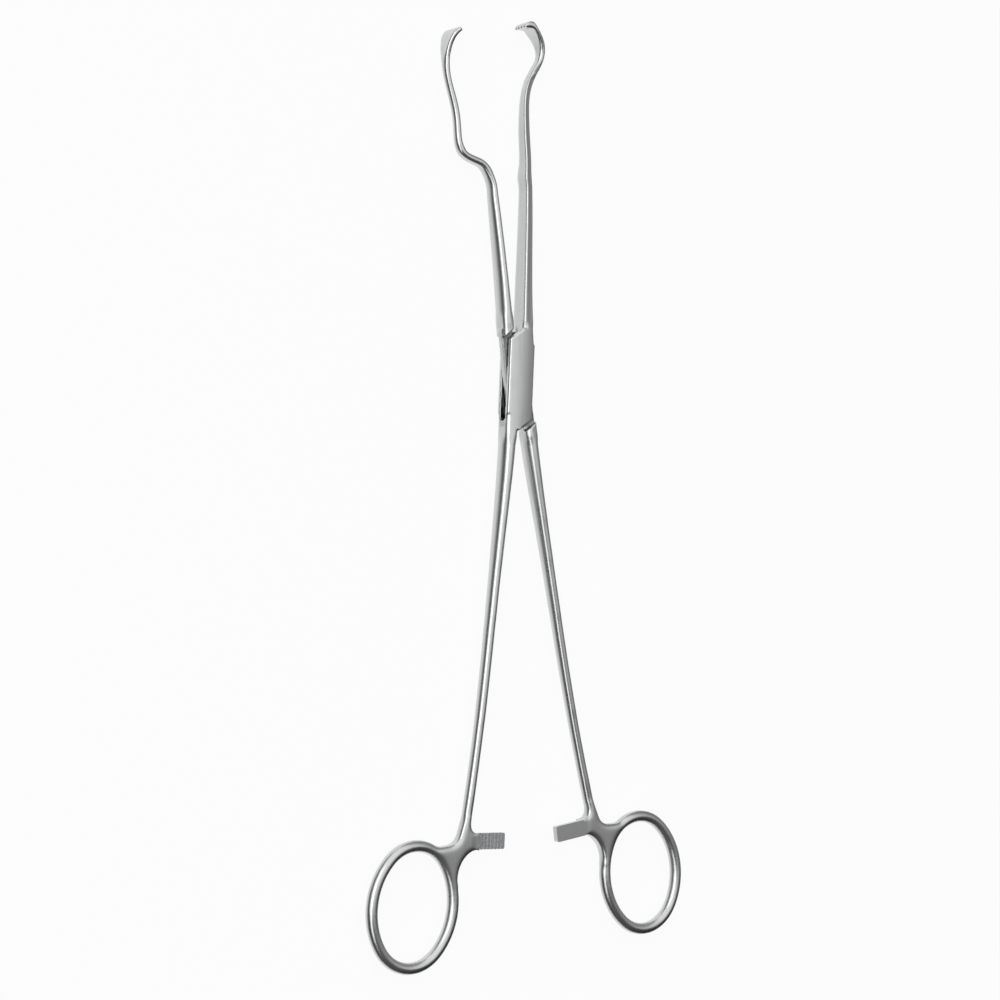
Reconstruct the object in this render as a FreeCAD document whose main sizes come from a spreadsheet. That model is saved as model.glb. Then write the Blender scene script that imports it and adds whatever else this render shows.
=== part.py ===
import FreeCAD, Part
import math
import os
import Sketcher

# Ring-handled bone clamp with a box lock, lying flat: the jaws point to +Y, the hinge axis is Z, and the face
# that looks at the viewer is +Z. The origin is where the hinge axis meets the back face of the box.
# Both halves are drawn shut and then turned apart about the hinge to the opening that the clamp is shown at.

doc = FreeCAD.newDocument("BoneClamp")
sheet = doc.addObject("Spreadsheet::Sheet", "Sizes")

SIZES = (
    ("open_angle", 10.2, "opening of the two halves at rest, deg"),
    ("box_width", 7.9, "box across"),
    ("box_depth", 5.3, "box from front to back"),
    ("box_round", 0.9, "rounding of the box's long edges"),
    ("crown_radius", 22.0, "crown across the front of the box and of the bars' feet"),
    ("crown_reach", 36.0, "hinge to where the bars have left the crown"),
    ("cheek_side_reach", 10.1, "hinge to the cheek's end at its free side"),
    ("cheek_mid_reach", 13.1, "hinge to the cheek's end at the middle"),
    ("bar_lap", 1.0, "run of each bar's foot into the box"),
    ("cheek_lap", 1.4, "run of the cheek's end over the foot of the bar beside it"),
    ("slot_depth", 2.0, "slot from front to back"),
    ("slot_reach", 11.0, "hinge to the slot's round end"),
    ("web_clearance", 0.04, "gap between web and cheek on each side"),
    ("web_reach", 8.9, "hinge to the web's free end"),
    ("web_rise", 0.4, "slant of the web's free end"),
    ("web_inset", 0.1, "web's side from the box's side"),
    ("web_root", 1.5, "run of the web into the bar that carries it"),
    ("shoulder_gap", 0.9, "gap from the cheek's free side to the passing half's shoulder"),
    ("shoulder_mid_gap", 0.25, "the same gap at the middle"),
    ("crotch_gap", 0.25, "gap between the two halves at the crotch, shut"),
    ("pin_diameter", 3.0, "lock pin"),
    ("pin_clearance", 0.03, "radial running gap of the pin in the web"),
    ("shank_reach", 112.0, "hinge to the shank's lower end, along Y"),
    ("shank_offset", 9.95, "shank's lower end from the centre line"),
    ("shank_end_width", 2.5, "shank across, lower end"),
    ("handle_depth", 3.0, "ring, web and shank end, front to back"),
    ("ring_half_width", 12.2, "finger ring's centre line, half across"),
    ("ring_half_length", 15.05, "finger ring's centre line, half along"),
    ("ring_end_radius", 10.6, "radius of its two end arcs"),
    ("ring_wire", 2.9, "finger ring's bar across"),
    ("ring_chamfer", 0.85, "chamfer of the finger ring's edges"),
    ("ring_tilt", 4.0, "finger ring leans outwards, deg"),
    ("ring_join_angle", 136.0, "place on the ring where the shank meets it, deg"),
    ("ring_join_side", 5.7, "that place from the shank's end, sideways"),
    ("ring_join_drop", 11.4, "that place from the shank's end, down"),
    ("arm_length", 12.5, "ratchet arm from the shank's end to its tip"),
    ("arm_height", 4.1, "ratchet arm along Y"),
    ("arm_drop", 3.4, "shank's end to the arm's upper edge"),
    ("arm_round", 0.5, "rounding of the arm's tip"),
    ("arm_fillet", 2.2, "curve from the arm into the shank"),
    ("crook_drop", 3.0, "shank's end to the start of the outer curve"),
    ("crook_side", 0.8, "sideways to that start"),
    ("ring_outer_fillet", 3.6, "curve from the shank's outer side into the ring"),
    ("ring_inner_fillet", 7.5, "curve from the arm into the ring"),
    ("ratchet_clearance", 0.04, "gap from the middle plane to the tooth crests"),
    ("tooth_pitch", 1.1, "ratchet tooth pitch"),
    ("tooth_height", 0.55, "ratchet tooth depth"),
    ("tooth_flank", 0.88, "length of a tooth's slanting side along the arm"),
    ("tooth_start", 0.9, "arm's tip to the first tooth"),
    ("bite_pitch", 1.15, "pitch of the biting teeth"),
    ("bite_height", 0.75, "depth of the notches between the biting teeth"),
    ("bite_width", 1.2, "width of a notch at its open end"),
)

# Each jaw and shank is a bar drawn through stations from the box outwards: place of the section's middle when shut,
# width across the bar in the plane of motion, and depth from front to back.
SHANK = (
    ("root", 2.25, 20.0, 3.4, 5.1),
    ("upper", 3.85, 44.0, 2.6, 4.0),
    ("middle", 5.45, 67.0, 2.35, 3.3),
    ("lower", 7.35, 90.0, 2.25, 2.95),
)
RIGHT_JAW_STEM = (
    ("stem_low", 1.3, 22.0, 2.75, 5.0),
    ("stem_mid", 0.95, 36.0, 2.35, 4.5),
    ("stem_high", 0.5, 50.0, 2.05, 3.9),
)
RIGHT_JAW_ARM = (
    ("arm_start", 0.05, 55.5, 1.95, 3.6),
    ("arm_low", -0.45, 61.0, 1.9, 3.3),
    ("arm_high", -1.05, 69.0, 1.8, 2.8),
    ("neck", -0.85, 74.0, 1.7, 2.5),
    ("lean", 0.9, 79.2, 1.65, 2.4),
    ("bow_low", 2.75, 82.6, 1.6, 2.5),
    ("bow", 3.25, 85.4, 1.6, 3.0),
    ("bow_high", 2.2, 88.3, 1.5, 4.1),
    ("hook", 0.2, 90.6, 1.35, 5.0),
    ("tip", -3.5, 90.8, 1.1, 4.8),
)
LEFT_JAW_STEM = (
    ("stem_low", -1.75, 22.0, 2.75, 5.0),
    ("stem_mid", -1.65, 36.0, 2.35, 4.4),
    ("stem_high", -1.75, 48.5, 2.05, 3.6),
)
LEFT_JAW_ARM = (
    ("step_start", -2.6, 52.9, 2.0, 3.3),
    ("step_mid", -5.0, 55.6, 1.95, 3.0),
    ("step_end", -8.4, 57.0, 1.9, 2.8),
    ("arm_low", -10.6, 59.2, 1.85, 2.6),
    ("arm_mid", -10.95, 62.6, 1.8, 2.4),
    ("arm_high", -10.75, 67.6, 1.75, 2.3),
    ("bow_low", -11.75, 74.0, 1.65, 2.2),
    ("bow", -12.45, 79.8, 1.55, 2.5),
    ("bow_high", -11.8, 84.4, 1.4, 3.8),
    ("hook", -10.6, 87.2, 1.3, 5.5),
    ("tip", -8.6, 88.95, 1.3, 6.6),
)


def fill_sheet():
    rows = list(SIZES)
    bars = (("shank", SHANK), ("right", RIGHT_JAW_STEM + RIGHT_JAW_ARM), ("left", LEFT_JAW_STEM + LEFT_JAW_ARM))
    for bar, stations in bars:
        for name, x, y, width, depth in stations:
            for word, value in (("side", x), ("along", y), ("width", width), ("depth", depth)):
                rows.append((f"{bar}_{name}_{word}", value, f"{bar} bar, {name}: {word}"))
    for row, (alias, value, note) in enumerate(rows, start=1):
        sheet.set(f"A{row}", note)
        sheet.set(f"B{row}", str(value))
        sheet.setAlias(f"B{row}", alias)
    doc.recompute()


def size(text):
    """Number that an expression of sheet aliases comes to."""
    value = sheet.evalExpression(text)
    return float(value.Value if hasattr(value, "Value") else value)


def cell(alias):
    return f"Sizes.{alias}"


HALF_BOX = "Sizes.box_width / 2"
HALF_CROTCH = "Sizes.crotch_gap / 2"
RATCHET_TEETH = 7
BITE_NOTCHES = 4
# Corners of the bars' sections, in widths of the bar: how much they take off, and the radius of their flat arc.
CORNER = 0.3
CORNER_BULGE = 0.62
# How far a cutting outline runs past the metal, and the smallest length or volume that counts.
PAST = 1.0
FINE = 0.01


def origin_part(body, role):
    return next(part for part in body.Origin.OriginFeatures if part.Role == role)


def new_sketch(body, name, role, lift="0"):
    """Sketch on one of the body's own planes, lifted off it by an expression."""
    sketch = body.newObject("Sketcher::SketchObject", name)
    sketch.AttachmentSupport = [(origin_part(body, role), "")]
    sketch.MapMode = "FlatFace"
    sketch.setExpression("AttachmentOffset.Base.z", lift)
    return sketch


def pin_point(sketch, geometry, point, x, y):
    """Hold one point of the sketch at expressions x and y."""
    for kind, text in (("DistanceX", x), ("DistanceY", y)):
        index = sketch.addConstraint(Sketcher.Constraint(kind, -1, 1, geometry, point, size(text)))
        sketch.setExpression(f"Constraints[{index}]", text)


def draw_outline(sketch, corners):
    """Closed outline. A corner is (x, y) or (x, y, radius): radius rounds the run from it to the next corner,
    positive where that run bulges to the right of the way it goes and negative where it bulges to the left."""
    spots = [FreeCAD.Vector(size(corner[0]), size(corner[1]), 0) for corner in corners]
    total = len(corners)
    ends = []
    for number, corner in enumerate(corners):
        start, end = spots[number], spots[(number + 1) % total]
        if len(corner) == 2:
            index = sketch.addGeometry(Part.LineSegment(start, end), False)
            ends.append((index, 1, 2))
            continue
        radius = size(corner[2])
        chord = end - start
        left = FreeCAD.Vector(-chord.y, chord.x, 0).normalize()
        rise = math.sqrt(max(radius ** 2 - (chord.Length / 2) ** 2, 0))
        centre = (start + end) * 0.5 + left * math.copysign(rise, radius)
        first, last = (start, end) if radius > 0 else (end, start)
        circle = Part.Circle(centre, FreeCAD.Vector(0, 0, 1), abs(radius))
        arc = Part.ArcOfCircle(circle, circle.parameter(first), circle.parameter(last))
        index = sketch.addGeometry(arc, False)
        ends.append((index, 1, 2) if radius > 0 else (index, 2, 1))
        held = sketch.addConstraint(Sketcher.Constraint("Radius", index, abs(radius)))
        sketch.setExpression(f"Constraints[{held}]", f"abs({corner[2]})")
    for number, corner in enumerate(corners):
        index, start, end = ends[number]
        after = ends[(number + 1) % total]
        sketch.addConstraint(Sketcher.Constraint("Coincident", index, end, after[0], after[1]))
        pin_point(sketch, index, start, corner[0], corner[1])


def draw_rounded_section(sketch, width, depth):
    """Rectangle about the sketch's origin. Its corners are cut back by CORNER of the width and a little bulged."""
    w, d, cut = f"{width} / 2", f"{depth} / 2", f"{CORNER} * {width}"
    bulge = f"{CORNER_BULGE} * {width}"
    draw_outline(sketch, [
        (w, f"{cut} - {d}"), (w, f"{d} - {cut}", bulge),
        (f"{w} - {cut}", d), (f"{cut} - {w}", d, bulge),
        (f"-{w}", f"{d} - {cut}"), (f"-{w}", f"{cut} - {d}", bulge),
        (f"{cut} - {w}", f"-{d}"), (f"{w} - {cut}", f"-{d}", bulge),
    ])


def pad_outline(body, name, sketch, length, middle=True):
    pad = body.newObject("PartDesign::Pad", name)
    pad.Profile = sketch
    pad.Midplane = middle
    pad.setExpression("Length", length)
    doc.recompute()
    return pad


def loft_bar(body, name, stations):
    """Bar through stations (x, y, width, depth, turn): turn is how far the section is turned about Z, in degrees."""
    sections = []
    for number, (x, y, width, depth, turn) in enumerate(stations):
        section = new_sketch(body, f"{name}Section{number}", "XZ_Plane", f"-({y})")
        section.setExpression("AttachmentOffset.Base.x", x)
        section.setExpression("AttachmentOffset.Rotation.Pitch", turn)
        draw_rounded_section(section, width, depth)
        sections.append(section)
    loft = body.newObject("PartDesign::AdditiveLoft", name)
    loft.Profile = sections[0]
    loft.Sections = sections[1:]
    doc.recompute()
    return loft


def turns_along(points):
    """Turn of the section at each point of a path, square to the way from the point before to the point after."""
    texts = []
    for number in range(len(points)):
        x0, y0 = points[max(number - 1, 0)]
        x1, y1 = points[min(number + 1, len(points) - 1)]
        texts.append(f"atan((({x0}) - ({x1})) / (({y1}) - ({y0})))")
    return texts


# Where a bar leaves the box: it fills one side of it, up to the crotch between the halves.
ROOT_REACH = "Sizes.cheek_side_reach - Sizes.bar_lap"
ROOT_WIDTH = "(Sizes.box_width - Sizes.crotch_gap) / 2"
ROOT_SIDE = "(Sizes.box_width + Sizes.crotch_gap) / 4"


def station(bar, name):
    return tuple(cell(f"{bar}_{name}_{word}") for word in ("side", "along", "width", "depth"))


def add_jaw(body, side, stem, arm):
    """Jaw as a straight stem beside the other one, and an arm that leads from the stem's top to the bite."""
    sign = 1 if side == "right" else -1
    rows = [(f"{sign} * ({ROOT_SIDE})", ROOT_REACH, ROOT_WIDTH, "Sizes.box_depth")]
    rows += [station(side, name) for name, *_ in stem + arm]
    rows = [row + (turn,) for row, turn in zip(rows, turns_along([row[:2] for row in rows]))]
    loft_bar(body, "Stem", rows[:len(stem) + 1])
    loft_bar(body, "Jaw", rows[len(stem):])


def add_shank(body, sign):
    rows = [(f"({ROOT_SIDE})", ROOT_REACH, ROOT_WIDTH, "Sizes.box_depth")]
    rows += [station("shank", name) for name, *_ in SHANK]
    rows.append(("Sizes.shank_offset", "Sizes.shank_reach", "Sizes.shank_end_width", "Sizes.handle_depth"))
    rows = [(f"{sign} * {x}", f"-({y})", width, depth) for x, y, width, depth in rows]
    turns = turns_along([row[:2] for row in rows])
    loft_bar(body, "Shank", [row + (turn,) for row, turn in zip(rows, turns)])


def ring_point(sign, angle, grow="0"):
    """Expressions of a point on the finger ring's centre line, or that far outside it."""
    a, b = f"(Sizes.ring_half_width + {grow})", f"(Sizes.ring_half_length + {grow})"
    join = ("Sizes.ring_half_width * cos(Sizes.ring_join_angle)", "Sizes.ring_half_length * sin(Sizes.ring_join_angle)")
    x, y = f"({a} * cos({angle}) - {join[0]})", f"({b} * sin({angle}) - {join[1]})"
    tilt = "Sizes.ring_tilt"
    return (f"{sign} * (Sizes.shank_offset + Sizes.ring_join_side + {x} * cos({tilt}) - {y} * sin({tilt}))",
            f"-(Sizes.shank_reach + Sizes.ring_join_drop) + {x} * sin({tilt}) + {y} * cos({tilt})")


def ring_centre(sign):
    x = "(0 - Sizes.ring_half_width * cos(Sizes.ring_join_angle))"
    y = "(0 - Sizes.ring_half_length * sin(Sizes.ring_join_angle))"
    tilt = "Sizes.ring_tilt"
    return (f"{sign} * (Sizes.shank_offset + Sizes.ring_join_side + {x} * cos({tilt}) - {y} * sin({tilt}))",
            f"-(Sizes.shank_reach + Sizes.ring_join_drop) + {x} * sin({tilt}) + {y} * cos({tilt})")


# How far the handle's web laps over the shank's end, reaches into the arm, and sinks into the ring's outer edge,
# and how far it fills over the ring's centre line at each angle around the ring.
SHANK_LAP = 0.6
ARM_ROOT = 2.2
SEAM = 0.3
WEB_FILL = (("113", "0"), ("128", "-0.3"), ("145", "-0.3"), ("160", "0"))


def break_ring_edges(body, ring):
    """Chamfer the four edges of the padded ring, which makes its section eight-sided."""
    chamfer = body.newObject("PartDesign::Chamfer", "RingChamfer")
    half_depth = size("Sizes.handle_depth / 2")
    shape = ring.Shape
    names = []
    for number, edge in enumerate(shape.Edges, start=1):
        box = edge.BoundBox
        flat = box.ZLength < FINE and abs(abs(box.ZMin) - half_depth) < FINE
        if flat and box.YMax < -size("Sizes.shank_reach + Sizes.arm_drop"):
            names.append(f"Edge{number}")
    chamfer.Base = (ring, names)
    chamfer.setExpression("Size", "Sizes.ring_chamfer")
    doc.recompute()


def place_sketch(sketch, x, y, turn):
    sketch.setExpression("AttachmentOffset.Base.x", x)
    sketch.setExpression("AttachmentOffset.Base.y", y)
    sketch.setExpression("AttachmentOffset.Rotation.Yaw", turn)


def draw_oval(sketch, grow):
    """Oval of four arcs that run smoothly into each other, that far outside the finger ring's centre line."""
    a, b, r = "Sizes.ring_half_width", "Sizes.ring_half_length", "Sizes.ring_end_radius"
    side = f"(({a}^2 + ({b} - {r})^2 - {r}^2) / (2 * ({a} - {r})))"
    turn = f"atan(({b} - {r}) / ({side} - {a}))"
    x = f"(({side} + {grow}) * cos({turn}) - ({side} - {a}))"
    y = f"(({side} + {grow}) * sin({turn}))"
    end, flank = f"{r} + {grow}", f"{side} + {grow}"
    draw_outline(sketch, [(x, y, end), (f"-{x}", y, flank), (f"-{x}", f"-{y}", end), (x, f"-{y}", flank)])


def add_handle(body, sign):
    """Finger ring, the flat web that joins it to the shank, and the ratchet arm."""
    centre = ring_centre(sign)
    ring = new_sketch(body, "RingOutline", "XY_Plane")
    place_sketch(ring, centre[0], centre[1], f"{sign} * Sizes.ring_tilt")
    draw_oval(ring, "Sizes.ring_wire / 2")
    draw_oval(ring, "(-Sizes.ring_wire / 2)")
    break_ring_edges(body, pad_outline(body, "Ring", ring, "Sizes.handle_depth"))

    shank_y = "-Sizes.shank_reach"
    arm_top = "-(Sizes.shank_reach + Sizes.arm_drop)"
    arm_bottom = "-(Sizes.shank_reach + Sizes.arm_drop + Sizes.arm_height)"
    half = "Sizes.shank_end_width / 2"
    edge = f"Sizes.ring_wire / 2 - {SEAM}"
    root = f"{sign} * (Sizes.shank_offset - {half} - {ARM_ROOT})"
    crook_x, crook_y = f"Sizes.shank_offset + {half} + Sizes.crook_side", f"{shank_y} - Sizes.crook_drop"
    corners = [
        (f"{sign} * (Sizes.shank_offset + {half} - {SEAM})", f"{shank_y} + {SHANK_LAP}"),
        (f"{sign} * ({crook_x})", crook_y, f"{sign} * Sizes.ring_outer_fillet"),
        (f"{sign} * ({crook_x} + Sizes.ring_outer_fillet)", f"{crook_y} - 0.9 * Sizes.ring_outer_fillet"),
    ]
    corners.append(ring_point(sign, WEB_FILL[0][0], edge))
    corners += [ring_point(sign, angle, grow) for angle, grow in WEB_FILL]
    corners.append(ring_point(sign, WEB_FILL[-1][0], edge) + (f"{sign} * Sizes.ring_inner_fillet",))
    corners += [
        (f"{sign} * (Sizes.shank_offset - {half} - {ARM_ROOT} / 2)", arm_bottom),
        (root, arm_bottom),
        (root, arm_top, f"{sign} * Sizes.arm_fillet"),
        (f"{sign} * (Sizes.shank_offset - {half} + {SEAM})", f"{arm_top} + Sizes.arm_fillet"),
        (f"{sign} * (Sizes.shank_offset - {half} + {SEAM})", f"{shank_y} + {SHANK_LAP}"),
    ]
    web = new_sketch(body, "WebOutline", "XY_Plane")
    draw_outline(web, corners)
    pad_outline(body, "Web", web, "Sizes.handle_depth")

    add_ratchet_arm(body, sign, root, arm_top)


def add_ratchet_arm(body, sign, root, arm_top):
    """Half-thick arm towards the other handle, with saw teeth on the face that meets the other arm."""
    tip = "Sizes.shank_offset - Sizes.arm_length"
    crest = f"{sign} * Sizes.ratchet_clearance"
    groove = f"{sign} * (Sizes.ratchet_clearance + Sizes.tooth_height)"
    outside = f"{sign} * Sizes.handle_depth / 2"
    corners = [(f"{sign} * ({tip})", outside), (f"{sign} * ({tip})", crest)]
    for number in range(RATCHET_TEETH):
        start = f"{tip} + Sizes.tooth_start + {number} * Sizes.tooth_pitch"
        corners += [
            (f"{sign} * ({start})", crest),
            (f"{sign} * ({start})", groove),
            (f"{sign} * ({start} + Sizes.tooth_flank)", crest),
        ]
    corners += [(root, crest), (root, outside)]
    profile = new_sketch(body, "ArmProfile", "XZ_Plane", f"-({arm_top})")
    draw_outline(profile, corners)
    arm = pad_outline(body, "Arm", profile, "Sizes.arm_height", middle=False)
    end = sign * size(tip)
    names = []
    for number, edge in enumerate(arm.Shape.Edges, start=1):
        box = edge.BoundBox
        at_tip = box.XLength < FINE and abs(box.XMin - end) < FINE
        if at_tip and box.YLength < FINE and box.ZLength > size("Sizes.handle_depth / 4"):
            names.append(f"Edge{number}")
    rounding = body.newObject("PartDesign::Fillet", "ArmRounding")
    rounding.Base = (arm, names)
    rounding.setExpression("Radius", "Sizes.arm_round")
    doc.recompute()


def cut_outline(body, name, sketch, length, middle=True, upward=False):
    """Pocket about the sketch's plane, or from it to one side, and check that it took metal away."""
    volume, faces = body.Shape.Volume, len(body.Shape.Faces)
    cut = body.newObject("PartDesign::Pocket", name)
    cut.Profile = sketch
    cut.Midplane = middle
    cut.Reversed = upward
    cut.setExpression("Length", length)
    doc.recompute()
    untouched = len(body.Shape.Faces) == faces and body.Shape.Volume > volume - FINE
    if untouched or body.Shape.Volume < volume / 2:
        raise RuntimeError(f"{body.Label}: {name} cuts nothing, or far too much")
    return cut


def turned_about(corners):
    """The corners and the same turned half a turn about the hinge."""
    return corners + [tuple(f"-({text})" for text in corner) for corner in corners]


def crown_front(body):
    """Shave the front to a shallow crown across the box, which the tapering bars leave again by themselves."""
    side = "Sizes.box_width"
    edge = f"Sizes.box_depth / 2 - Sizes.crown_radius + sqrt(Sizes.crown_radius^2 - {side}^2)"
    crown = new_sketch(body, "CrownOutline", "XZ_Plane")
    draw_outline(crown, [
        (f"-{side}", edge, "-Sizes.crown_radius"),
        (side, edge),
        (side, f"Sizes.box_depth / 2 + {PAST}"),
        (f"-{side}", f"Sizes.box_depth / 2 + {PAST}"),
    ])
    cut_outline(body, "Crown", crown, "Sizes.crown_reach * 2")


def add_box(body):
    """Block of the lock. Its ends are cut slanting on the side where the other half comes out."""
    corners = turned_about([
        (HALF_BOX, ROOT_REACH),
        (f"{HALF_CROTCH} + Sizes.cheek_lap", ROOT_REACH),
        (f"{HALF_CROTCH} + Sizes.cheek_lap", "Sizes.cheek_mid_reach"),
        (HALF_CROTCH, "Sizes.cheek_mid_reach"),
        (f"-{HALF_BOX}", "Sizes.cheek_side_reach"),
    ])
    outline = new_sketch(body, "BoxOutline", "XY_Plane")
    draw_outline(outline, corners)
    block = pad_outline(body, "Box", outline, "Sizes.box_depth")
    half_width, half_depth = size(HALF_BOX), size("Sizes.box_depth / 2")
    names = []
    for number, edge in enumerate(block.Shape.Edges, start=1):
        middle = edge.BoundBox.Center
        long_edge = edge.BoundBox.YLength > half_width and edge.BoundBox.XLength < FINE
        if long_edge and abs(abs(middle.x) - half_width) < FINE and abs(abs(middle.z) - half_depth) < FINE:
            names.append(f"Edge{number}")
    rounding = body.newObject("PartDesign::Fillet", "BoxRounding")
    rounding.Base = (block, names)
    rounding.setExpression("Radius", "Sizes.box_round")
    doc.recompute()


# The slot's ends are a little flatter than a half circle, so that they meet the slot's faces at a clean angle.
NEARLY_ROUND = 1.02


def cut_lock_slot(body):
    """Round-ended slot through the box from side to side, open to the crotch at both ends."""
    half = "Sizes.slot_depth / 2"
    reach = f"Sizes.slot_reach - {half}"
    slot = new_sketch(body, "SlotOutline", "YZ_Plane")
    draw_outline(slot, [
        (f"-({reach})", f"-{half}"),
        (reach, f"-{half}", f"{half} * {NEARLY_ROUND}"),
        (reach, half),
        (f"-({reach})", half, f"{half} * {NEARLY_ROUND}"),
    ])
    cut_outline(body, "Slot", slot, "Sizes.box_width * 2")
    for end, sign in (("Upper", 1), ("Lower", -1)):
        mouth = new_sketch(body, f"{end}MouthOutline", "XY_Plane")
        draw_outline(mouth, [
            (f"{sign} * {HALF_CROTCH}", f"{sign} * (Sizes.slot_reach - Sizes.slot_depth)"),
            (f"{sign} * {HALF_CROTCH}", f"{sign} * (Sizes.cheek_mid_reach + {PAST})"),
            (f"-{sign} * Sizes.box_width", f"{sign} * (Sizes.cheek_mid_reach + {PAST})"),
            (f"-{sign} * Sizes.box_width", f"{sign} * (Sizes.slot_reach - Sizes.slot_depth)"),
        ])
        cut_outline(body, f"{end}Mouth", mouth, "Sizes.slot_depth")


def bore_hinge(body, radius):
    bore = new_sketch(body, "BoreOutline", "XY_Plane")
    index = bore.addGeometry(Part.Circle(FreeCAD.Vector(0, 0, 0), FreeCAD.Vector(0, 0, 1), size(radius)), False)
    bore.addConstraint(Sketcher.Constraint("Coincident", index, 3, -1, 1))
    held = bore.addConstraint(Sketcher.Constraint("Radius", index, size(radius)))
    bore.setExpression(f"Constraints[{held}]", radius)
    cut_outline(body, "Bore", bore, "Sizes.box_depth * 2")


WEB_DEPTH = "(Sizes.slot_depth - 2 * Sizes.web_clearance)"


def add_web(body):
    """Thin plate of the passing half, which fills the slot when the clamp is shut."""
    inner = f"{HALF_CROTCH} + Sizes.web_inset"
    outer = f"{HALF_BOX} - Sizes.web_inset"
    corners = turned_about([
        (outer, "Sizes.web_reach"),
        (f"-({inner})", "Sizes.web_reach + Sizes.web_rise"),
        (f"-({inner})", "Sizes.cheek_mid_reach + Sizes.web_root"),
        (f"-({outer})", "Sizes.cheek_mid_reach"),
    ])
    web = new_sketch(body, "LockWebOutline", "XY_Plane")
    draw_outline(web, corners)
    pad_outline(body, "LockWeb", web, WEB_DEPTH)


def cut_shoulders(body):
    """Clear the front and the back of the web between the two shoulders, where the cheeks lie."""
    corners = turned_about([
        ("Sizes.box_width", "Sizes.cheek_mid_reach + Sizes.shoulder_mid_gap"),
        ("0", "Sizes.cheek_mid_reach + Sizes.shoulder_mid_gap"),
        (f"-{HALF_BOX}", "Sizes.cheek_side_reach + Sizes.shoulder_gap"),
        ("-Sizes.box_width", "2 * Sizes.cheek_side_reach - Sizes.cheek_mid_reach + Sizes.shoulder_gap"),
    ])
    for face, sign in (("Front", 1), ("Back", -1)):
        recess = new_sketch(body, f"{face}RecessOutline", "XY_Plane", f"{sign} * {WEB_DEPTH} / 2")
        draw_outline(recess, corners)
        cut_outline(body, f"{face}Recess", recess, "Sizes.box_depth", middle=False, upward=sign > 0)


# The tips' end faces lean, so that their edges lie this far beyond the last station.
TIP_SLANT = 0.25


def notch_tip(body, side):
    """Biting teeth: a row of notches across the end of the jaw."""
    sign = 1 if side == "right" else -1
    tip, along = cell(f"{side}_tip_side"), cell(f"{side}_tip_along")
    open_end = f"{tip} - {sign} * {PAST}"
    face = f"{tip} - {sign} * {TIP_SLANT}"
    root = f"{face} + {sign} * Sizes.bite_height"
    notches = new_sketch(body, "NotchOutlines", "XZ_Plane", f"-({along}) - 2 * {PAST}")
    for number in range(BITE_NOTCHES):
        middle = f"{number - (BITE_NOTCHES - 1) / 2} * Sizes.bite_pitch"
        draw_outline(notches, [
            (open_end, f"{middle} - Sizes.bite_width / 2"),
            (root, middle),
            (open_end, f"{middle} + Sizes.bite_width / 2"),
        ])
    cut_outline(body, "Notches", notches, f"4 * {PAST}", middle=False, upward=True)


def new_half(name, turn):
    body = doc.addObject("PartDesign::Body", name)
    body.Label = name
    body.setExpression("Placement.Base.z", "Sizes.box_depth / 2")
    body.setExpression("Placement.Rotation.Yaw", turn)
    return body


fill_sheet()

# Half with the box: right jaw, slotted box, left shank, left ring, and a ratchet arm with its teeth to the front.
female = new_half("female_half", "-Sizes.open_angle / 2")
add_box(female)
add_jaw(female, "right", RIGHT_JAW_STEM, RIGHT_JAW_ARM)
add_shank(female, -1)
crown_front(female)
cut_lock_slot(female)
bore_hinge(female, "Sizes.pin_diameter / 2")
add_handle(female, -1)
notch_tip(female, "right")

# Passing half: left jaw with its step, thin web, right shank, right ring, and an arm with its teeth to the back.
male = new_half("male_half", "Sizes.open_angle / 2")
add_web(male)
add_jaw(male, "left", LEFT_JAW_STEM, LEFT_JAW_ARM)
add_shank(male, 1)
crown_front(male)
cut_shoulders(male)
bore_hinge(male, "Sizes.pin_diameter / 2 + Sizes.pin_clearance")
add_handle(male, 1)
notch_tip(male, "left")

# Lock pin: a rivet that fills the bores of both cheeks and turns in the web. Its ends are ground flush.
pin = doc.addObject("Part::Cylinder", "box_lock_pin")
pin.Label = "box_lock_pin"
pin.setExpression("Radius", "Sizes.pin_diameter / 2")
pin.setExpression("Height", "Sizes.box_depth - Sizes.pin_diameter^2 / 8 / Sizes.crown_radius")
doc.recompute()

pieces = (female, male, pin)
for thing in doc.Objects:
    if "Invalid" in thing.State or "Error" in thing.State:
        raise RuntimeError(f"{thing.Name} failed: {thing.getStatusString()}")
for piece in pieces:
    shape = piece.Shape
    if shape.isNull() or not shape.isValid() or len(shape.Solids) != 1:
        raise RuntimeError(f"{piece.Label} is not one sound solid")

os.makedirs("parts", exist_ok=True)
for piece in pieces:
    piece.Shape.exportStep(f"parts/{piece.Label}.step")
    box = piece.Shape.BoundBox
    print(f"{piece.Label}: volume {piece.Shape.Volume:.1f} mm3, "
          f"x {box.XMin:.2f} to {box.XMax:.2f}, y {box.YMin:.2f} to {box.YMax:.2f}, z {box.ZMin:.2f} to {box.ZMax:.2f}")
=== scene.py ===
from math import atan2, cos, pi, radians, sin

import bmesh
import bpy
import numpy as np
from mathutils import Matrix, Vector


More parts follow.
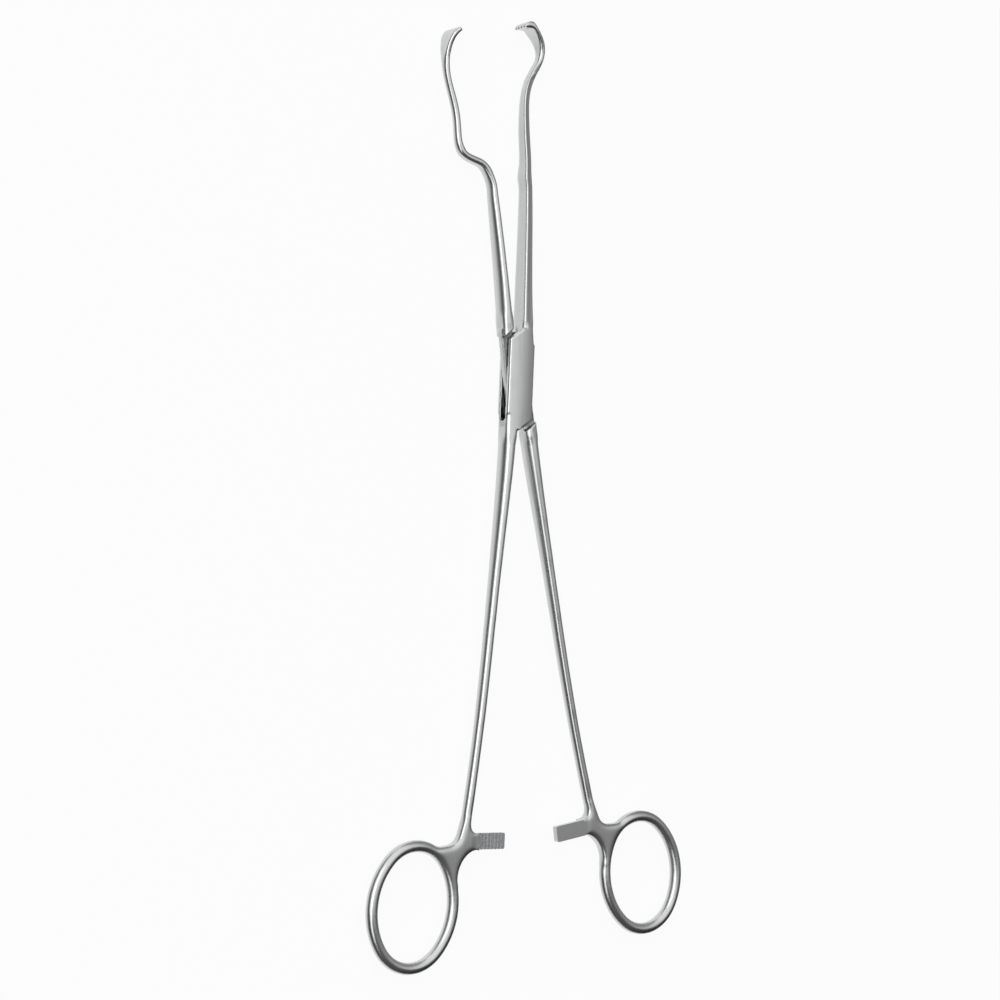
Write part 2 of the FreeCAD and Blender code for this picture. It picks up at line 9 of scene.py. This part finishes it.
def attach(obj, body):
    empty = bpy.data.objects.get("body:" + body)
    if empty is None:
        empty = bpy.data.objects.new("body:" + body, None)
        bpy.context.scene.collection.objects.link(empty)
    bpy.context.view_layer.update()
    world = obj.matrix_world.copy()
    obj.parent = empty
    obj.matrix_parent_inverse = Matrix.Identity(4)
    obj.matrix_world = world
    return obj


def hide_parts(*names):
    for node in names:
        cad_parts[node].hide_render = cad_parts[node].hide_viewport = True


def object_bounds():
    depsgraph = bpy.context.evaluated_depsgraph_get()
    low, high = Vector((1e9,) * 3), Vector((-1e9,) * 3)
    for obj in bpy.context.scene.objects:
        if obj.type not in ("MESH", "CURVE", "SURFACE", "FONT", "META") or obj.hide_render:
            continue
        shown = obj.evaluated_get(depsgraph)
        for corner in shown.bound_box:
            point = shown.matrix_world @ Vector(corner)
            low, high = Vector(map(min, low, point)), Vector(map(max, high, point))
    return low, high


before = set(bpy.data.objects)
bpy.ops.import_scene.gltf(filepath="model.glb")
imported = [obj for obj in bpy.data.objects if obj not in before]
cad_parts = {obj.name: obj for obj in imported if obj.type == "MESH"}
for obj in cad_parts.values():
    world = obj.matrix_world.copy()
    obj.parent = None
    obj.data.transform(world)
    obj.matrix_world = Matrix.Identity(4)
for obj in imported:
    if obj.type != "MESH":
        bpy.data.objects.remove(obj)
cad_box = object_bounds()

# The camera looks at the clamp's front from the left of it. The clamp lies with its jaws along +Y, and the
# photograph shows it upright, so the camera's up is the clamp's Y, turned by the tilt of the clamp there.
MM = 0.001
DISTANCE, AZIMUTH, LIFT, ROLL = 601.5 * MM, radians(37.11), radians(-1.22), radians(-0.10)
CLAMP_TILT = radians(-1.92)
BOX_MIDDLE = 2.65
HINGE_MIDDLE = Vector((0, 0, BOX_MIDDLE * MM))
FOCAL_PIXELS, FRAME_PIXELS, SENSOR = 2350, 1000, 36
HINGE_PIXEL = (516.3, 379.6)

towards = Vector((-sin(AZIMUTH) * cos(LIFT), sin(LIFT), cos(AZIMUTH) * cos(LIFT)))
right = (-towards).cross(Vector((0, 1, 0))).normalized()
up = towards.cross(right).normalized()
right, up = cos(ROLL) * right + sin(ROLL) * up, cos(ROLL) * up - sin(ROLL) * right
off_x = (HINGE_PIXEL[0] - FRAME_PIXELS / 2) / FOCAL_PIXELS
off_y = (FRAME_PIXELS / 2 - HINGE_PIXEL[1]) / FOCAL_PIXELS
eye = DISTANCE * (towards - off_x * right - off_y * up)
view = Matrix((right, up, towards)).transposed().to_4x4()
camera = bpy.data.objects.new("camera", bpy.data.cameras.new("camera"))
camera.data.lens = FOCAL_PIXELS / FRAME_PIXELS * SENSOR
camera.data.sensor_width = SENSOR
camera.data.clip_start = 0.01
tilt = Matrix.Rotation(CLAMP_TILT, 4, "Z")
camera.matrix_world = Matrix.Translation(HINGE_MIDDLE) @ tilt @ Matrix.Translation(eye) @ view
bpy.context.collection.objects.link(camera)
bpy.context.scene.camera = camera
bpy.context.scene.view_settings.view_transform = "Standard"

# The table: a plain white sheet just under the clamp, which keeps its soft shadow. The steel doesn't mirror
# the sheet: what lies below the clamp in its reflections is the lower half of the room.
TABLE_HALF = 3.0
TABLE_DROP = 0.02 * MM
TABLE_WHITE = 0.9
TABLE_GLOW = 0.93


def grey(shade):
    """Colour whose red, green and blue are all the shade."""
    return (shade, shade, shade, 1)


def add(tree, kind, values=None, **settings):
    """New shader node of a kind in a tree, with its settings, and its inputs at the values given by name."""
    node = tree.nodes.new(f"ShaderNode{kind}")
    for name, value in settings.items():
        setattr(node, name, value)
    for name, value in (values or {}).items():
        node.inputs[name].default_value = value
    return node


def wire(tree, *pairs):
    """Link the output to the input of each pair."""
    for source, target in pairs:
        tree.links.new(source, target)


table_z = cad_box[0][2] - TABLE_DROP
u, v = np.meshgrid([-TABLE_HALF, TABLE_HALF], [-TABLE_HALF, TABLE_HALF])
corners = np.column_stack([u.ravel(), v.ravel(), np.full(u.size, table_z)])
table_mesh = bpy.data.meshes.new("table")
table_mesh.from_pydata(corners.tolist(), [], [(0, 1, 3, 2)])
table = bpy.data.objects.new("table", table_mesh)
bpy.context.collection.objects.link(table)

paper = bpy.data.materials.new("white_table")
paper.use_nodes = True
tree = paper.node_tree
tree.nodes.clear()
matt = add(tree, "BsdfDiffuse", {"Color": grey(TABLE_WHITE)})
glow = add(tree, "Emission", {"Color": grey(1)})
ray = add(tree, "LightPath")
seen = add(tree, "Math", {1: TABLE_GLOW}, operation="MULTIPLY")
sheet = add(tree, "MixShader")
clear = add(tree, "BsdfTransparent")
unless_mirrored = add(tree, "MixShader")
out = add(tree, "OutputMaterial")
wire(
    tree,
    (ray.outputs["Is Camera Ray"], seen.inputs[0]),
    (seen.outputs[0], sheet.inputs["Fac"]),
    (matt.outputs[0], sheet.inputs[1]),
    (glow.outputs[0], sheet.inputs[2]),
    (ray.outputs["Is Glossy Ray"], unless_mirrored.inputs["Fac"]),
    (sheet.outputs[0], unless_mirrored.inputs[1]),
    (clear.outputs[0], unless_mirrored.inputs[2]),
    (unless_mirrored.outputs[0], out.inputs["Surface"]),
)
table_mesh.materials.append(paper)

# The room: its light goes by the angle around the clamp's long axis, from straight below over the right,
# overhead and the left to below again. Above the floor line it fades towards the rings' end of the room, and
# it is white where the camera looks straight at it.
SHADE_BELOW = 0.95
ROOM_SHADES = (
    (-128, 0.95), (-112, 0.25), (-90, 0.2), (-53, 0.3), (-45, 0.45), (-37, 0.72), (-28, 0.95), (-22, 1),
    (75, 1), (83, 0.1), (111, 0.1), (132, 0.6), (143, 0.93),
)
RINGS_FADE_FROM, RINGS_FADE_TO, RINGS_SHADE = 0.02, -0.25, 0.08
FLOOR_LINE, FLOOR_FULL = 0, -0.3

world = bpy.data.worlds.new("studio")
bpy.context.scene.world = world
world.use_nodes = True
tree = world.node_tree
way = add(tree, "TexCoord")
axes = add(tree, "SeparateXYZ")
leftwards = add(tree, "Math", {1: -1}, operation="MULTIPLY")
around = add(tree, "Math", operation="ARCTAN2")
full_turn = add(tree, "MapRange", {"From Min": -pi, "From Max": pi})
shades = add(tree, "ValToRGB")
ramp = shades.color_ramp.elements
ramp[0].color = ramp[1].color = grey(SHADE_BELOW)
for angle, shade in ROOM_SHADES:
    ramp.new((angle + 180) / 360).color = grey(shade)
lengthways = add(
    tree, "MapRange", {"From Min": RINGS_FADE_TO, "From Max": RINGS_FADE_FROM, "To Min": RINGS_SHADE},
)
below = add(tree, "MapRange", {"From Min": FLOOR_LINE, "From Max": FLOOR_FULL})
brighter = add(tree, "Math", operation="MAXIMUM")
dim = add(tree, "VectorMath", operation="SCALE")
ray = add(tree, "LightPath")
room = add(tree, "Mix", {"B": grey(1)}, data_type="RGBA")
wire(
    tree,
    (way.outputs["Generated"], axes.inputs[0]),
    (axes.outputs["X"], leftwards.inputs[0]),
    (leftwards.outputs[0], around.inputs[0]),
    (axes.outputs["Z"], around.inputs[1]),
    (around.outputs[0], full_turn.inputs["Value"]),
    (full_turn.outputs["Result"], shades.inputs["Fac"]),
    (axes.outputs["Y"], lengthways.inputs["Value"]),
    (axes.outputs["Z"], below.inputs["Value"]),
    (lengthways.outputs["Result"], brighter.inputs[0]),
    (below.outputs["Result"], brighter.inputs[1]),
    (shades.outputs["Color"], dim.inputs[0]),
    (brighter.outputs[0], dim.inputs["Scale"]),
    (dim.outputs[0], room.inputs["A"]),
    (ray.outputs["Is Camera Ray"], room.inputs["Factor"]),
    (room.outputs["Result"], tree.nodes["Background"].inputs["Color"]),
)

# The lamp: one broad soft box high on the left, turned to the clamp, with its long side along the clamp. It
# ends well above the floor line, which leaves the dark line along each bar.
LAMP_LEFT, LAMP_HEIGHT = 0.95, 0.89
LAMP_WIDTH, LAMP_LENGTH = 0.64, 2.0
LAMP_WATTS = 5.4

light = bpy.data.lights.new("high_left", "AREA")
light.shape = "RECTANGLE"
light.size, light.size_y, light.energy = LAMP_WIDTH, LAMP_LENGTH, LAMP_WATTS
lamp = bpy.data.objects.new("high_left", light)
lamp.location = (-LAMP_LEFT, 0, LAMP_HEIGHT)
lamp.rotation_euler = (0, atan2(-LAMP_LEFT, LAMP_HEIGHT), 0)
bpy.context.collection.objects.link(lamp)

# The two halves: one stainless steel forging each, from jaw to finger ring and ratchet arm, bead-blasted and
# lightly brushed. The web of the one turns in the slotted box of the other. Each is one skin over its solid,
# and the box's skin also covers the pin, whose ground ends show no ring.
STEEL = (0.68, 0.685, 0.69, 1)
EDGE_STEEL = (0.74, 0.745, 0.75, 1)
# Painted shade: the dark grey that the steel's colour is mixed to inside the lock's slot, where it lies in
# shadow.
LOCK_PAINTED_SHADE = 0.09
BLAST_SCALE, SMEAR_SCALE, BRUSH_SCALE = 5200, 130, 1700
BRUSH_STRETCH = 0.03
SMOOTHEST, ROUGHEST, EDGE_POLISH = 0.26, 0.32, -0.06
STREAK_SHADE = 0.95
GRAIN_BUMP, GRAIN_DEPTH = 0.04, 0.02 * MM

# The satin finish: a fine grain from the beads, faint brush marks along the clamp, and a shine that changes
# in soft patches and is highest on rubbed edges.
satin = bpy.data.node_groups.new("satin_finish", "ShaderNodeTree")
satin.interface.new_socket("Edge", in_out="INPUT", socket_type="NodeSocketFloat")
for mask in ("Grain", "Streak", "Roughness"):
    satin.interface.new_socket(mask, in_out="OUTPUT", socket_type="NodeSocketFloat")
entry = satin.nodes.new("NodeGroupInput")
leave = satin.nodes.new("NodeGroupOutput")
where = add(satin, "TexCoord")
blast = add(satin, "TexNoise", {"Scale": BLAST_SCALE, "Detail": 3})
smear = add(satin, "TexNoise", {"Scale": SMEAR_SCALE, "Detail": 4})
lengthwise = add(satin, "Mapping", {"Scale": (1, BRUSH_STRETCH, 1)})
brush = add(satin, "TexNoise", {"Scale": BRUSH_SCALE, "Detail": 3})
rough = add(
    satin, "MapRange", {"From Min": 0.3, "From Max": 0.7, "To Min": SMOOTHEST, "To Max": ROUGHEST},
)
worn = add(satin, "Math", {1: EDGE_POLISH}, operation="MULTIPLY_ADD")
wire(
    satin,
    (where.outputs["Object"], blast.inputs["Vector"]),
    (where.outputs["Object"], smear.inputs["Vector"]),
    (where.outputs["Object"], lengthwise.inputs["Vector"]),
    (lengthwise.outputs["Vector"], brush.inputs["Vector"]),
    (blast.outputs["Fac"], leave.inputs["Grain"]),
    (brush.outputs["Fac"], leave.inputs["Streak"]),
    (smear.outputs["Fac"], rough.inputs["Value"]),
    (entry.outputs["Edge"], worn.inputs[0]),
    (rough.outputs["Result"], worn.inputs[2]),
    (worn.outputs["Value"], leave.inputs["Roughness"]),
)

# The steel: its colour runs from face to rubbed edge, is a little darker in the brush marks, and is painted
# dark in the lock's slot, as painted shade where the lock lies in shadow.
steel = bpy.data.materials.new("satin_steel")
steel.use_nodes = True
tree = steel.node_tree
metal = tree.nodes["Principled BSDF"]
metal.inputs["Metallic"].default_value = 1
edge = add(tree, "Attribute", attribute_name="edge")
finish = add(tree, "Group", node_tree=satin)
tint = add(tree, "Mix", {"A": STEEL, "B": EDGE_STEEL}, data_type="RGBA")
streaks = add(
    tree, "MapRange", {"From Min": 0.35, "From Max": 0.65, "To Min": STREAK_SHADE, "To Max": 1},
)
brushed = add(tree, "VectorMath", operation="SCALE")
hidden = add(tree, "Attribute", attribute_name="painted_shade")
# Painted shade: in the lock's slot the colour is mixed towards dark grey.
painted_shade_mix = add(tree, "Mix", {"B": grey(LOCK_PAINTED_SHADE)}, data_type="RGBA")
bump = add(tree, "Bump", {"Strength": GRAIN_BUMP, "Distance": GRAIN_DEPTH})
wire(
    tree,
    (edge.outputs["Fac"], finish.inputs["Edge"]),
    (edge.outputs["Fac"], tint.inputs["Factor"]),
    (finish.outputs["Streak"], streaks.inputs["Value"]),
    (tint.outputs["Result"], brushed.inputs[0]),
    (streaks.outputs["Result"], brushed.inputs["Scale"]),
    (brushed.outputs[0], painted_shade_mix.inputs["A"]),
    (hidden.outputs["Fac"], painted_shade_mix.inputs["Factor"]),
    (painted_shade_mix.outputs["Result"], metal.inputs["Base Color"]),
    (finish.outputs["Roughness"], metal.inputs["Roughness"]),
    (finish.outputs["Grain"], bump.inputs["Height"]),
    (bump.outputs["Normal"], metal.inputs["Normal"]),
)

# How finely the skin is made and welded, how often it is relaxed, and how far it swells on the bars, as
# relaxing thins them. The web's skin keeps back by the ease, so that it turns in the slot.
GRID = 0.23 * MM
WELD = 0.001 * MM
RELAX_FACTOR, SHARE_STEPS = 0.5, 8
EVERYWHERE_PASSES, BAR_PASSES, ROOT_PASSES, PIN_PASSES = 3, 60, 60, 30
SWELL = 0.08 * MM
WEB_EASE = 0.07 * MM

# Places on a half that is turned shut, in millimetres: across to the right of the hinge, along from it to
# the jaws, and up from the box's back. Of each pair of values, a share is 0 at the first and 1 at the second.
# The front is what lies higher than FRONT_FROM.
ARM_ACROSS, ARM_TOP, ARM_LOW = (9, 7.5), (-110, -112), (-126, -124)
BAR_START, BAR_END = (13.5, 17), (84, 80)
ROOT_ACROSS, ROOT_TOP, ROOT_LOW = (23, 19), (-106, -111), (-135, -122)
PIN_REACH = (2.7, 2.1)
WEB_END = (14.5, 13)
SLOT_ALONG, SLOT_UP, SLOT_SIDE_FADE = (12.6, 12.1), (1.12, 1.0), 0.2
FRONT_FROM = 4.2

# The crown of the box's front, and the stretches that are ground to it: over the pin and the jaw's foot.
BOX_DEPTH = 2 * BOX_MIDDLE
CROWN_RADIUS = 22
OVER_PIN_ACROSS, OVER_PIN_ALONG = 2.7, 9
FOOT_ACROSS, FOOT_END = 8, 36

# The bars' sections: how far apart and how thick the slices are that measure a bar, how many of them are
# averaged, and how a section fades out, over a length at the bar's ends and by the bar's sideways slope.
SLICE_STEP, SLICE_HALF, SLICE_MEAN = 0.5, 0.15, 5
SECTION_FADE, SECTION_SLOPE = 2, (0.7, 0.4)

# Where the ratchet arm starts, and the angle from which an edge of its faces is a sharp one.
ARM_CUT, ARM_BELOW = 6.7, -112
SHARP_FROM = radians(25)

# How far a point stands out of its surroundings where an edge is fully rubbed, and how often that is spread.
RUBBED_STAND, RUBBED_SPREAD = 0.02 * MM, 2


def vertex_values(mesh, name):
    """The place, co, or the normal of all vertices, as one row of numbers."""
    values = np.empty(len(mesh.vertices) * 3)
    mesh.vertices.foreach_get(name, values)
    return values


def shut_place(mesh, turn):
    """Places of the vertices in millimetres, with the half turned back by its turn: across, along and up."""
    x, y, z = vertex_values(mesh, "co").reshape(-1, 3).T / MM
    return x * cos(turn) + y * sin(turn), y * cos(turn) - x * sin(turn), z


def rise(value, start, full):
    """The distance from the start divided by that from start to full, and never below 0 or above 1."""
    return np.clip((value - start) / (full - start), 0, 1)


def work_in(piece):
    """Work the piece's modifiers into its mesh."""
    found = piece.evaluated_get(bpy.context.evaluated_depsgraph_get())
    piece.data = bpy.data.meshes.new_from_object(found)
    piece.modifiers.clear()


def forged_skin(solids, name, turn, jaw_share, ease):
    """One skin over solids: merged, remeshed on a fine grid and relaxed, more on bars, root and pin.

    Relaxing moves a point half way to the mean of its neighbours, times its share. Then it moves along its
    normal by the swell times its share of the bars, less the ease in the lock, and stays inside cad_box.
    """
    mesh = bpy.data.meshes.new(name)
    work = bmesh.new()
    for solid in solids:
        work.from_mesh(bpy.data.objects[solid].data)
    bmesh.ops.remove_doubles(work, verts=work.verts, dist=WELD)
    work.to_mesh(mesh)
    work.free()
    piece = bpy.data.objects.new(name, mesh)
    bpy.context.collection.objects.link(piece)
    grid = piece.modifiers.new("grid", "REMESH")
    grid.mode = "VOXEL"
    grid.voxel_size = GRID
    work_in(piece)
    across, along, up = shut_place(piece.data, turn)
    arm = rise(abs(across), *ARM_ACROSS) * rise(along, *ARM_LOW) * rise(along, *ARM_TOP)
    shank_or_jaw = np.where(along > 0, jaw_share, 1)
    bars = rise(abs(along), *BAR_START) * rise(along, *BAR_END) * shank_or_jaw * (1 - arm)
    root = rise(abs(across), *ROOT_ACROSS) * rise(along, *ROOT_TOP) * rise(along, *ROOT_LOW) * (1 - arm)
    pin = rise(np.hypot(across, along), *PIN_REACH) * (up > FRONT_FROM)
    for label, passes, share in (
        ("bars", BAR_PASSES, bars),
        ("root", ROOT_PASSES, root),
        ("pin", PIN_PASSES, pin),
    ):
        group = piece.vertex_groups.new(name=label)
        level = np.round(share * SHARE_STEPS).astype(int)
        for step in range(1, SHARE_STEPS + 1):
            group.add(np.flatnonzero(level == step).tolist(), step / SHARE_STEPS, "REPLACE")
        relax = piece.modifiers.new(label, "SMOOTH")
        relax.factor = RELAX_FACTOR
        relax.iterations = passes
        relax.vertex_group = label
    relax = piece.modifiers.new("everywhere", "SMOOTH")
    relax.iterations = EVERYWHERE_PASSES
    work_in(piece)
    place, normal = vertex_values(piece.data, "co"), vertex_values(piece.data, "normal")
    low, high = (np.tile(corner, across.size) for corner in cad_box)
    swell = SWELL * bars - ease * rise(abs(along), *WEB_END)
    piece.data.vertices.foreach_set("co", np.clip(place + normal * np.repeat(swell, 3), low, high))
    return piece


def crown(across):
    """Height of the crown's arc: box depth - radius + square root of (radius squared - across squared)."""
    return (BOX_DEPTH - CROWN_RADIUS + np.sqrt(CROWN_RADIUS ** 2 - across ** 2)) * MM


def grind_front(mesh, turn):
    """Bring the front to the crown's arc over the pin, and down to it over the foot of the jaw."""
    across, along, up = shut_place(mesh, turn)
    place = vertex_values(mesh, "co")
    height = place[2::3]
    over = (abs(across) < OVER_PIN_ACROSS) & (abs(along) < OVER_PIN_ALONG) & (up > FRONT_FROM)
    height[over] = crown(across[over])
    foot = (abs(across) < FOOT_ACROSS) & (along > OVER_PIN_ALONG) & (along < FOOT_END)
    height[foot] = np.minimum(height[foot], crown(across[foot]))
    mesh.vertices.foreach_set("co", place)
    mesh.update()


def bar_sections(mesh, turn, first, last, power, lean):
    """Give a bar the section |u| ** n + |w| ** n = 1, with u and w the shares of its half width and depth.

    Thin slices of the skin give its middle and size at each level. The section fades out over the bar's ends
    and where the bar runs sideways. A small power n is an oval, a big one a rectangle with crisp edges, whose
    front falls off to the right by the lean.
    """
    across, along, up = shut_place(mesh, turn)
    place = vertex_values(mesh, "co")
    levels = np.arange(first, last, SLICE_STEP)
    slices = [abs(along - level) < SLICE_HALF for level in levels]
    found = [
        np.array([(values[cut].max() + side * values[cut].min()) / 2 for cut in slices])
        for values in (across, up) for side in (1, -1)
    ]
    slope = np.interp(along, levels, np.gradient(found[0], levels))
    even = np.ones(SLICE_MEAN) / SLICE_MEAN
    found = [np.convolve(np.pad(values, SLICE_MEAN // 2, "edge"), even, "valid") for values in found]
    middle, half, centre, depth = (np.interp(along, levels, values) for values in found)
    u, w = (across - middle) / half, (up - centre) / depth
    share = rise(along, first, first + SECTION_FADE) * rise(along, last, last - SECTION_FADE)
    share *= rise(abs(slope), *SECTION_SLOPE)
    out = ((abs(u) ** power + abs(w) ** power) ** (-1 / power) - 1) * share
    fall = lean * np.clip(u + 1, 0, 2) / 2 * np.clip(w, 0, 1) * share
    place[0::3] += u * half * out * cos(turn) * MM
    place[1::3] += u * half * out * sin(turn) * MM
    place[2::3] += (w * depth * out - fall) * MM
    mesh.vertices.foreach_set("co", place)
    mesh.update()


def fit_arm(piece, node, turn, hand):
    """Cut the skin off where the ratchet arm starts, and put the forging's own crisp faces in its place."""
    outward = hand * Vector((cos(turn), sin(turn), 0))
    forward = Vector((-sin(turn), cos(turn), 0))
    cut, below = ARM_CUT * MM * outward, ARM_BELOW * MM * forward
    arm = bmesh.new()
    arm.from_mesh(bpy.data.objects[node].data)
    bmesh.ops.remove_doubles(arm, verts=arm.verts, dist=WELD)
    for place, direction in ((cut, outward), (below, forward)):
        everything = arm.verts[:] + arm.edges[:] + arm.faces[:]
        bmesh.ops.bisect_plane(arm, geom=everything, plane_co=place, plane_no=direction, clear_outer=True)
    for seam in arm.edges:
        seam.smooth = seam.calc_face_angle(0) < SHARP_FROM
    arm_mesh = bpy.data.meshes.new(f"{node}_arm")
    arm.to_mesh(arm_mesh)
    arm.free()
    skin = bmesh.new()
    skin.from_mesh(piece.data)
    low = [face for face in skin.faces if (face.calc_center_median() - below).dot(forward) < 0]
    verts = dict.fromkeys(vert for face in low for vert in face.verts)
    edges = dict.fromkeys(side for face in low for side in face.edges)
    lower = [*verts, *edges, *low]
    bmesh.ops.bisect_plane(skin, geom=lower, plane_co=cut, plane_no=outward, clear_inner=True)
    skin.from_mesh(arm_mesh)
    skin.to_mesh(piece.data)
    skin.free()
    piece.data.shade_smooth()


def mark_painted_shade(mesh, turn, slot_side, most):
    """Painted shade in the box's slot, as a point attribute: 0 outside the slot to the most in it, half
    turned shut.
    """
    across, along, up = shut_place(mesh, turn)
    inside = rise(abs(across), slot_side, slot_side - SLOT_SIDE_FADE) * rise(abs(along), *SLOT_ALONG)
    inside *= rise(abs(up - BOX_MIDDLE), *SLOT_UP)
    layer = mesh.attributes.new("painted_shade", "FLOAT", "POINT")
    layer.data.foreach_set("value", most * inside)


def mark_edges(mesh):
    """Attribute edge: how far a point stands out from its neighbours' mean along its normal, 0 to 1."""
    count = len(mesh.vertices)
    place, normal = (vertex_values(mesh, name).reshape(-1, 3) for name in ("co", "normal"))
    ends = np.empty(len(mesh.edges) * 2, int)
    mesh.edges.foreach_get("vertices", ends)
    a, b = ends.reshape(-1, 2).T
    neighbours = np.bincount(a, minlength=count) + np.bincount(b, minlength=count)

    def mean_of_neighbours(values):
        return np.column_stack([
            (np.bincount(a, values[b, axis], count) + np.bincount(b, values[a, axis], count)) / neighbours
            for axis in range(values.shape[1])
        ])

    stand = ((place - mean_of_neighbours(place)) * normal).sum(axis=1)[:, None]
    for _ in range(RUBBED_SPREAD):
        stand = mean_of_neighbours(stand)
    layer = mesh.attributes.new("edge", "FLOAT", "POINT")
    layer.data.foreach_set("value", np.clip(stand[:, 0] / RUBBED_STAND, 0, 1))


# In the photograph each half is turned open by HALF_OPEN. A bar is its first and last place along, the power
# of its section, and its lean. A half's row is its node, the solids under its skin, the side of its ring, the
# share of its jaw that is relaxed, the ease, the side of its slot or web, the most painted shade, and its
# bars.
HALF_OPEN = radians(5.1)
OVAL, CRISP = 2.25, 8
SHANK = (-108, -15, OVAL, 0)
HOOKED_JAW = (13, 83, CRISP, 0.5)
STEPPED_JAW = (16, 83, OVAL, 0)
for node, solids, hand, jaw_share, ease, slot_side, painted_shade, bars in (
    ("female_half", ("female_half", "box_lock_pin"), -1, 0, 0, 3.95, 1, (HOOKED_JAW, SHANK)),
    ("male_half", ("male_half",), 1, 1, WEB_EASE, 3.8, 0.75, (STEPPED_JAW, SHANK)),
):
    turn = hand * HALF_OPEN
    piece = forged_skin(solids, f"{node}_steel", turn, jaw_share, ease)
    for first, last, power, lean in bars:
        bar_sections(piece.data, turn, first, last, power, lean)
    if "box_lock_pin" in solids:
        grind_front(piece.data, turn)
    mark_edges(piece.data)
    # Painted shade in the box's slot, weaker on the web that turns in it.
    mark_painted_shade(piece.data, turn, slot_side, painted_shade)
    fit_arm(piece, node, turn, hand)
    piece.data.materials.append(steel)
    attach(piece, node.split("_")[0])
    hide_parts(node)

# The lock pin: a steel rivet through both cheeks of the box and the web between them, pressed in and ground
# flush. The skin of the box covers its ends, so it is a plain cylinder that stops just under that skin.
PIN_RADIUS, PIN_BOTTOM, PIN_TOP, PIN_SIDES = 1.48 * MM, 0.3 * MM, 4.95 * MM, 48

angle = np.tile(np.linspace(0, 2 * pi, PIN_SIDES, endpoint=False), 2)
level = np.repeat([PIN_BOTTOM, PIN_TOP], PIN_SIDES)
points = np.column_stack([PIN_RADIUS * np.cos(angle), PIN_RADIUS * np.sin(angle), level])
near = np.arange(PIN_SIDES)
far = np.roll(near, -1)
walls = np.column_stack([near, far, far + PIN_SIDES, near + PIN_SIDES])
ends = [near[::-1].tolist(), (near + PIN_SIDES).tolist()]
pin_mesh = bpy.data.meshes.new("lock_pin")
pin_mesh.from_pydata(points.tolist(), [], walls.tolist() + ends)
pin_mesh.materials.append(steel)
pin = bpy.data.objects.new("lock_pin", pin_mesh)
bpy.context.collection.objects.link(pin)
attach(pin, "female")
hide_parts("box_lock_pin")
